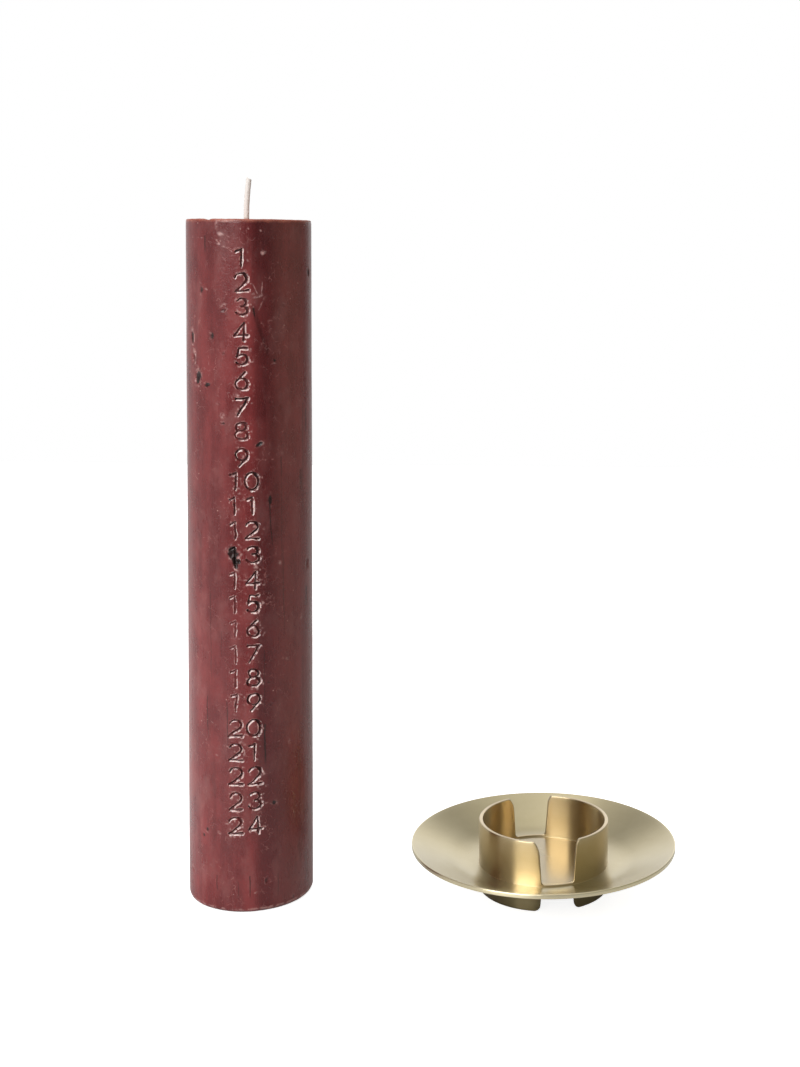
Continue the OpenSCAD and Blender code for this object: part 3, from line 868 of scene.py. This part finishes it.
# Foot ring: the same tube, notched the same way and turned upside down, brazed under the dish.
# What is left of it between the notches makes two curved feet with rounded corners.
foot_corner = 2.6
foot_flare = (foot_corner, foot_corner * (1 - sin(notch_taper)))
foot_piece = slotted_ring("foot_ring", foot_h, foot_flare, foot_flare, foot_h, -1)
# The foot ring's brass is painted much darker than the collar's, though it is the same tube: painted shade
# under the dish
foot_piece.data.materials.append(brass_finish("foot_brass_finish", *shaded_foot_brass))
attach(foot_piece, "holder")
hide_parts("foot_ring")

# Table: a sheet of white card with a slight sheen, seen as pure white by the camera apart from
# the set's soft shadow. In the brass and the wax it shows at its own, lower brightness.
card_left, card_front, card_back = -1300, -450, 1200
card_grey, card_roughness = (0.65, 0.65, 0.65), 0.4
seen_glow, mirrored_glow, mirrored_left_glow = 0.86, 0.03, 0.35
card_sheet = make_piece("card", [(card_left, card_front, 0), (-card_left, card_front, 0),
                                 (-card_left, card_back, 0), (card_left, card_back, 0)], [[0, 1, 2, 3]])
card = Finish("card_finish")
by_camera, by_gloss, by_glass = (card.node("ShaderNodeLightPath", out=f"Is {kind} Ray")
                                 for kind in ("Camera", "Glossy", "Transmission"))
sheen = card.node("ShaderNodeBsdfPrincipled", None, {"Base Color": card_grey, "Roughness": card_roughness})
# Painted reflection: the card's left part glows brighter, but only where the brass and the wax mirror it
left_part = card.step(card.axis(card.place(), "X"), -100, -160)
glow = by_camera * seen_glow + (by_gloss + by_glass) * (mirrored_glow + left_part * mirrored_left_glow)
glow = card.node("ShaderNodeEmission", None, {"Color": (1, 1, 1), "Strength": glow})
both = card.node("ShaderNodeAddShader", None, {0: sheen, 1: glow})
card.node("ShaderNodeOutputMaterial", None, {"Surface": both})
card_sheet.data.materials.append(card.material)

# Light: a white backdrop behind the set and a pale ceiling, a dark room in front of it with pale
# walls at the left and the right, and one large soft box at the front left.
world = bpy.data.worlds.new("studio")
bpy.context.scene.world = world
world.use_nodes = True
room = Finish("studio", world.node_tree)
way = room.node("ShaderNodeTexCoord", out="Generated")
up = room.axis(way, "Z")
level = room.vector("NORMALIZE", room.vector("MULTIPLY", way, (1, 1, 0)))
sideways, backwards = (room.axis(level, letter) for letter in "XY")


def bands(*stops, hue=(1, 1, 1)):
    """Brightness against the sine of the height above the horizon."""
    ramp = [((sine + 1) / 2, tuple(value * h for h in hue)) for sine, value in stops]
    return room.node("ShaderNodeValToRGB", {"stops": ramp}, {0: (up + 1) * 0.5})


overhead = (0.68, 0.5), (0.78, 1.0), (0.9, 1.4), (1, 1.2)
front = bands((0, 0.12), (0.4, 0.3), (1, 0.5))
left = bands((0.1, 0.68), (0.35, 0.25), (0.8, 0.35), (1, 0.8))
right = bands((0.1, 0.34), (0.4, 0.22), (0.8, 0.35), (1, 0.8), hue=(1, 1, 0.8))
back = bands((-0.05, 0.6), (0.2, 1.15), (0.4, 1.25), *overhead)
back_left = bands((-0.05, 1.1), (0.12, 1.1), (0.22, 0.85), (0.42, 0.9), *overhead)
back = room.tint(room.step(sideways, -0.1, -0.35), back, back_left)
studio = room.tint(room.step(sideways, -0.35, -0.75), front, left)
studio = room.tint(room.step(sideways, 0.75, 0.93), studio, right)
studio = room.tint(room.step(backwards, 0.75, 0.92), studio, back)
seen_by_camera = room.node("ShaderNodeLightPath", out="Is Camera Ray")
sky = room.tint(seen_by_camera, studio, (1.0, 1.0, 1.0))
background = room.node("ShaderNodeBackground", None, {"Color": sky, "Strength": 1.0})
room.node("ShaderNodeOutputWorld", None, {"Surface": background})


def soft_box(name, turn, lift, distance, width, height, brightness):
    """An area light at an angle round from the front (to the right) and up, aimed at the set; its
    brightness is what a mirror would show."""
    light = bpy.data.lights.new(name, "AREA")
    light.shape, light.size, light.size_y = "RECTANGLE", width, height
    light.energy = brightness * pi * width * height
    aim = Vector((0, 0, 0.1))
    a, b = radians(turn), radians(lift)
    at = aim + distance * Vector((sin(a) * cos(b), -cos(a) * cos(b), sin(b)))
    box = bpy.data.objects.new(name, light)
    box.matrix_world = Matrix.Translation(at) @ (at - aim).to_track_quat("Z", "Y").to_matrix().to_4x4()
    bpy.context.scene.collection.objects.link(box)


soft_box("key", turn=-30, lift=36, distance=1.5, width=1.0, height=1.3, brightness=5.2)
